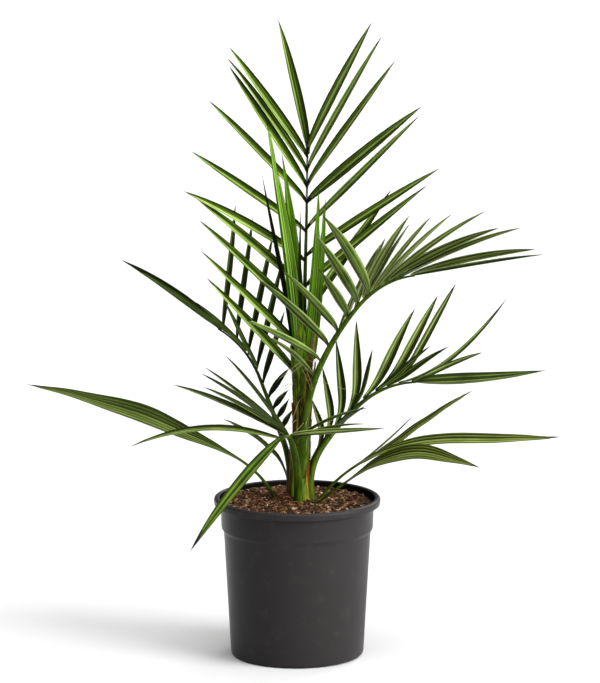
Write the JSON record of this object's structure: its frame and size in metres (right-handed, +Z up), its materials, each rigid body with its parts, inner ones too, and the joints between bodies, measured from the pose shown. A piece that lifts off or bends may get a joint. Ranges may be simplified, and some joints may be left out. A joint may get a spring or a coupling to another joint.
{
  "type": "potted date palm",
  "caption": "Young date palm with arching feather fronds, upright unopened spears and undivided seedling leaves, growing in a round nursery pot filled with soil.",
  "frame": {"origin": "centre of the pot's flat underside", "axes": "+Z up along the pot's axis, -Y towards the front, where the front frond leans out over the rim, +X to the right of the front view"},
  "size_m": [0.6627, 0.4546, 0.7995],
  "materials": {
    "pot": "satin",
    "soil": "rough",
    "trunk": "rough",
    "rib": "satin",
    "leaf": "satin",
    "spear": "satin"
  },
  "bodies": {
    "root": {"back_juvenile_leaf": "leaf", "front_frond_left_blade": "leaf", "front_frond_left_end_leaflet": "leaf", "front_frond_rib": "rib", "front_frond_right_blade": "leaf", "front_frond_right_end_leaflet": "leaf", "front_frond_stalk": "rib", "front_juvenile_leaf": "leaf", "front_spear_leaflet": "spear", "left_back_spear": "spear", "left_frond_left_blade": "leaf", "left_frond_left_end_leaflet": "leaf", "left_frond_rib": "rib", "left_frond_right_blade": "leaf", "left_frond_right_end_leaflet": "leaf", "left_frond_stalk": "rib", "left_juvenile_leaf": "leaf", "left_spear": "spear", "left_spear_leaflet": "spear", "low_right_frond_left_blade": "leaf", "low_right_frond_left_end_leaflet": "leaf", "low_right_frond_rib": "rib", "low_right_frond_right_blade": "leaf", "low_right_frond_right_end_leaflet": "leaf", "low_right_frond_stalk": "rib", "pot": "pot", "right_back_spear": "spear", "right_frond_left_blade": "leaf", "right_frond_left_end_leaflet": "leaf", "right_frond_rib": "rib", "right_frond_right_blade": "leaf", "right_frond_right_end_leaflet": "leaf", "right_frond_stalk": "rib", "right_juvenile_leaf": "leaf", "right_juvenile_lobe": "leaf", "right_juvenile_thin_lobe": "leaf", "right_spear": "spear", "soil": "soil", "tall_frond_left_blade": "leaf", "tall_frond_left_end_leaflet": "leaf", "tall_frond_rib": "rib", "tall_frond_right_blade": "leaf", "tall_frond_right_end_leaflet": "leaf", "trunk": "trunk"}
  },
  "joints": []
}
